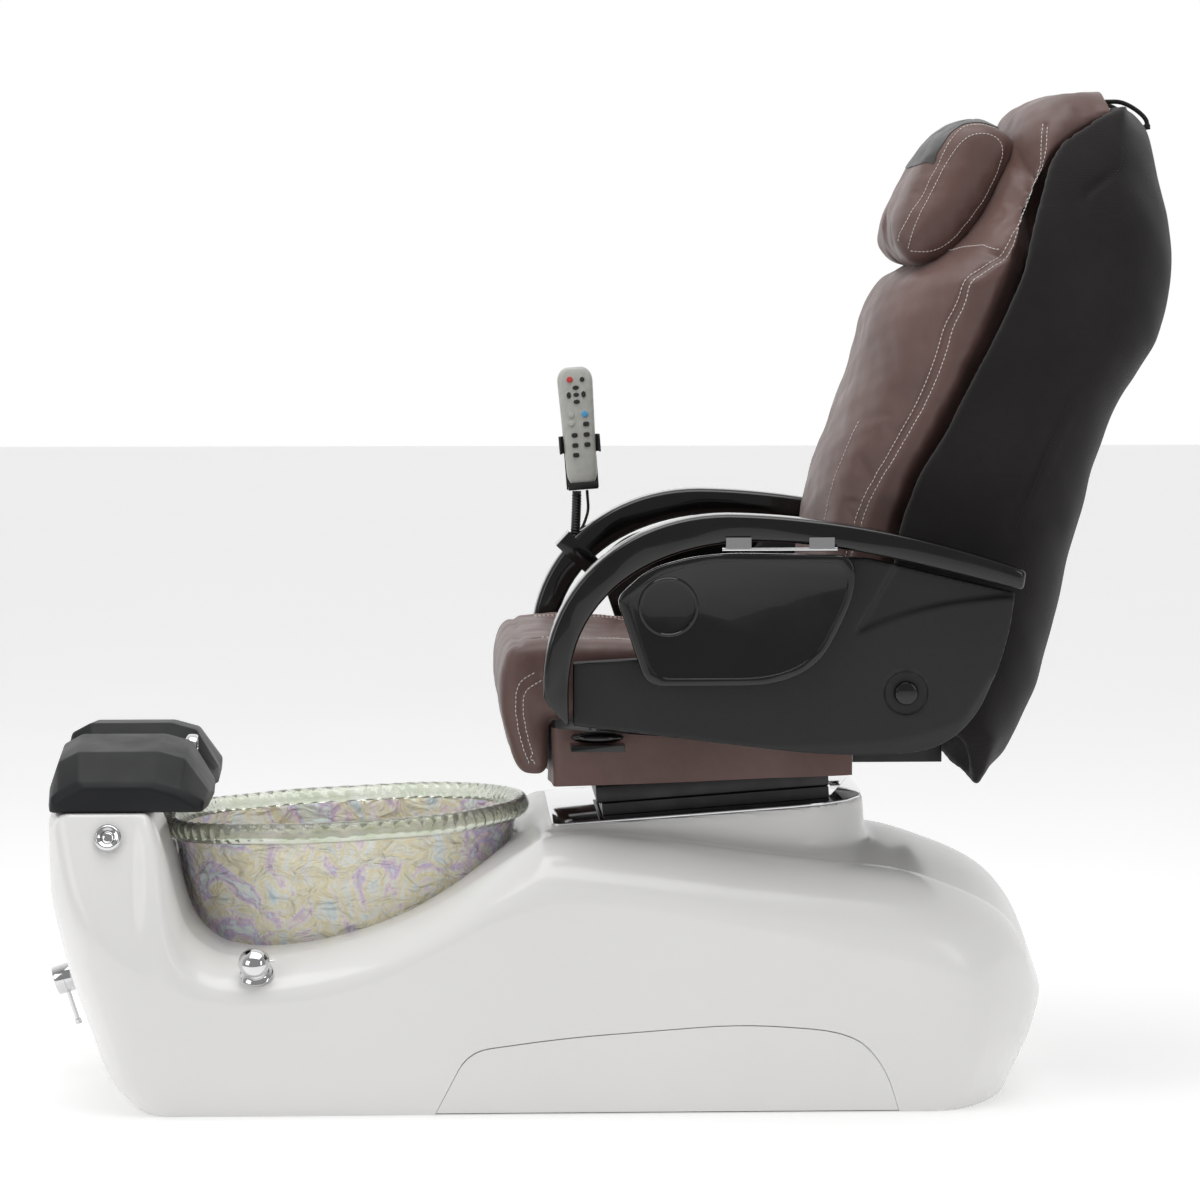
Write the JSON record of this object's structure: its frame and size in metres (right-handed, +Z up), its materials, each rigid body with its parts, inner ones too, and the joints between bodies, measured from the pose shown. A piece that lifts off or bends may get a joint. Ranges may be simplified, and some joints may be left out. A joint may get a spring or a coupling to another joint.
{
  "type": "pedicure spa chair",
  "caption": "Pedicure spa chair: white foot-bath base with a glass bowl and black footrest, and a sliding, reclining brown leather massage seat with bowed armrests, trays and a remote.",
  "frame": {"origin": "on the floor under the middle of the chair's length and width", "axes": "+X from the footrest to the backrest, +Y to the sitter's right, +Z up"},
  "size_m": [1.57, 0.7204, 1.3792],
  "materials": {
    "white_gelcoat": "polished moulded gelcoat",
    "bowl_glass": "wavy iridescent art glass",
    "chrome": "mirror polished",
    "steel": "welded tube and plate",
    "black_painted_metal": "satin black paint",
    "footrest_polyurethane": "matte moulded polyurethane",
    "grey_pipe": "smooth waste pipe",
    "charcoal_plastic": "fine textured matte moulding",
    "black_plastic": "satin black moulding",
    "gloss_black": "high gloss black",
    "brown_leather": "soft dark brown with white contrast stitching",
    "black_fabric": "dense black woven upholstery cloth",
    "silver_plastic": "painted silver grey",
    "cable_rubber": "satin cable sheath",
    "key_red": "moulded silicone key",
    "key_blue": "moulded silicone key",
    "key_black": "moulded silicone key"
  },
  "bodies": {
    "base": {"base_shell": "white_gelcoat", "access_panel_left": "white_gelcoat", "access_panel_right": "white_gelcoat", "base_frame": "steel", "control_box": "black_plastic", "glass_bowl": "bowl_glass", "bowl_drain": "chrome", "drain_pipe": "grey_pipe", "jet_motor": "black_plastic", "jet_housing": "white_gelcoat", "power_inlet": "black_plastic", "air_switch_bezel": "chrome", "mixer_body": "chrome", "drain_control_body": "chrome", "footrest": "footrest_polyurethane", "plinth_plate": "chrome", "slide_track": "black_painted_metal"},
    "seat": {"slide_carriage": "black_painted_metal", "seat_frame": "steel", "seat_skirt": "brown_leather", "seat_cushion": "brown_leather", "side_panel_left": "charcoal_plastic", "side_panel_right": "charcoal_plastic", "pivot_cap_left": "gloss_black", "pivot_cap_right": "gloss_black", "armrest_left": "gloss_black", "armrest_right": "gloss_black", "tray_hinge_left": "chrome", "tray_hinge_right": "chrome", "seat_lever_mount": "gloss_black", "recline_drive": "black_plastic", "remote_arm": "gloss_black", "remote_holder": "black_plastic", "remote_case": "silver_plastic", "remote_cable": "cable_rubber"},
    "backrest": {"back_shell": "black_fabric", "back_frame": "steel", "back_cushion": "brown_leather", "back_rear_flap": "black_fabric"},
    "pillow": {"headrest_pillow": "brown_leather"},
    "massage_head": {"massage_carriage": "black_plastic"},
    "massage_wheels": {"massage_rollers": "footrest_polyurethane"},
    "left_tray": {"tray_left": "gloss_black"},
    "right_tray": {"tray_right": "gloss_black"},
    "release_lever": {"seat_lever": "gloss_black"},
    "mixer_lever": {"mixer_handle": "chrome"},
    "drain_knob": {"drain_control_knob": "chrome"},
    "jet_button": {"air_switch_button": "chrome"},
    "hand_sprayer": {"sprayer": "chrome"},
    "jet_rotor": {"jet_impeller": "black_plastic"},
    "power_button": {"key_power": "key_red"},
    "timer_button": {"key_timer": "key_black"},
    "pad_up_button": {"key_pad_up": "key_black"},
    "pad_down_button": {"key_pad_down": "key_black"},
    "pad_left_button": {"key_pad_left": "key_black"},
    "pad_right_button": {"key_pad_right": "key_black"},
    "pad_centre_button": {"key_pad_centre": "key_black"},
    "recline_up_button": {"key_recline_up": "silver_plastic"},
    "recline_down_button": {"key_recline_down": "silver_plastic"},
    "heat_button": {"key_heat": "key_blue"}
  },
  "joints": [
    {"name": "seat_slide", "type": "slide", "parent": "base", "child": "seat", "axis": [0.9973, 0, 0.0732], "range_m": [-0.05, 0.1]},
    {"name": "back_recline", "type": "hinge", "parent": "seat", "child": "backrest", "pos_m": [0.399, 0, 0.571], "axis": [0, 1, 0], "range_deg": [0, 30]},
    {"name": "pillow_flip", "type": "hinge", "parent": "backrest", "child": "pillow", "pos_m": [0.576, 0, 1.352], "axis": [0, 1, 0], "range_deg": [0, 110]},
    {"name": "massage_lift", "type": "slide", "parent": "backrest", "child": "massage_head", "axis": [0.3714, 0, 0.9285], "range_m": [0, 0.31]},
    {"name": "massage_roll", "type": "hinge", "parent": "massage_head", "child": "massage_wheels", "pos_m": [0.44635, 0, 0.76747], "axis": [0, 1, 0], "continuous": true},
    {"name": "tray_left_fold", "type": "hinge", "parent": "seat", "child": "left_tray", "pos_m": [0.2, -0.3565, 0.7695], "axis": [-1, 0, 0], "range_deg": [0, 90]},
    {"name": "tray_right_fold", "type": "hinge", "parent": "seat", "child": "right_tray", "pos_m": [0.2, 0.3565, 0.7695], "axis": [1, 0, 0], "range_deg": [0, 90]},
    {"name": "seat_lever_lift", "type": "hinge", "parent": "seat", "child": "release_lever", "pos_m": [0.015, -0.284, 0.509], "axis": [0, 1, 0], "range_deg": [0, 6], "stiffness_Nm_per_rad": 0.6, "springref_deg": -5.73},
    {"name": "mixer_turn", "type": "hinge", "parent": "base", "child": "mixer_lever", "pos_m": [-0.737, 0, 0.146], "axis": [-0.9511, 0, -0.309], "range_deg": [-45, 45]},
    {"name": "drain_turn", "type": "hinge", "parent": "base", "child": "drain_knob", "pos_m": [-0.482, -0.326, 0.193], "axis": [-0.1191, -0.6382, 0.7606], "range_deg": [0, 90]},
    {"name": "jet_button_press", "type": "slide", "parent": "base", "child": "jet_button", "axis": [0, 0.9205, -0.3907], "range_m": [0, 0.003], "stiffness_N_per_m": 1500, "springref_m": -0.001},
    {"name": "sprayer_lift", "type": "slide", "parent": "base", "child": "hand_sprayer", "axis": [0, 0, 1], "range_m": [0, 0.15]},
    {"name": "jet_spin", "type": "hinge", "parent": "base", "child": "jet_rotor", "pos_m": [-0.563, 0, 0.268], "axis": [1, 0, 0], "continuous": true},
    {"name": "power_press", "type": "slide", "parent": "seat", "child": "power_button", "axis": [0, 1, 0], "range_m": [0, 0.001], "stiffness_N_per_m": 1000, "springref_m": -0.0003},
    {"name": "timer_press", "type": "slide", "parent": "seat", "child": "timer_button", "axis": [0, 1, 0], "range_m": [0, 0.001], "stiffness_N_per_m": 1000, "springref_m": -0.0003},
    {"name": "pad_up_press", "type": "slide", "parent": "seat", "child": "pad_up_button", "axis": [0, 1, 0], "range_m": [0, 0.001], "stiffness_N_per_m": 1000, "springref_m": -0.0003},
    {"name": "pad_down_press", "type": "slide", "parent": "seat", "child": "pad_down_button", "axis": [0, 1, 0], "range_m": [0, 0.001], "stiffness_N_per_m": 1000, "springref_m": -0.0003},
    {"name": "pad_left_press", "type": "slide", "parent": "seat", "child": "pad_left_button", "axis": [0, 1, 0], "range_m": [0, 0.001], "stiffness_N_per_m": 1000, "springref_m": -0.0003},
    {"name": "pad_right_press", "type": "slide", "parent": "seat", "child": "pad_right_button", "axis": [0, 1, 0], "range_m": [0, 0.001], "stiffness_N_per_m": 1000, "springref_m": -0.0003},
    {"name": "pad_centre_press", "type": "slide", "parent": "seat", "child": "pad_centre_button", "axis": [0, 1, 0], "range_m": [0, 0.001], "stiffness_N_per_m": 1000, "springref_m": -0.0003},
    {"name": "recline_up_press", "type": "slide", "parent": "seat", "child": "recline_up_button", "axis": [0, 1, 0], "range_m": [0, 0.001], "stiffness_N_per_m": 1000, "springref_m": -0.0003},
    {"name": "recline_down_press", "type": "slide", "parent": "seat", "child": "recline_down_button", "axis": [0, 1, 0], "range_m": [0, 0.001], "stiffness_N_per_m": 1000, "springref_m": -0.0003},
    {"name": "heat_press", "type": "slide", "parent": "seat", "child": "heat_button", "axis": [0, 1, 0], "range_m": [0, 0.001], "stiffness_N_per_m": 1000, "springref_m": -0.0003}
  ]
}
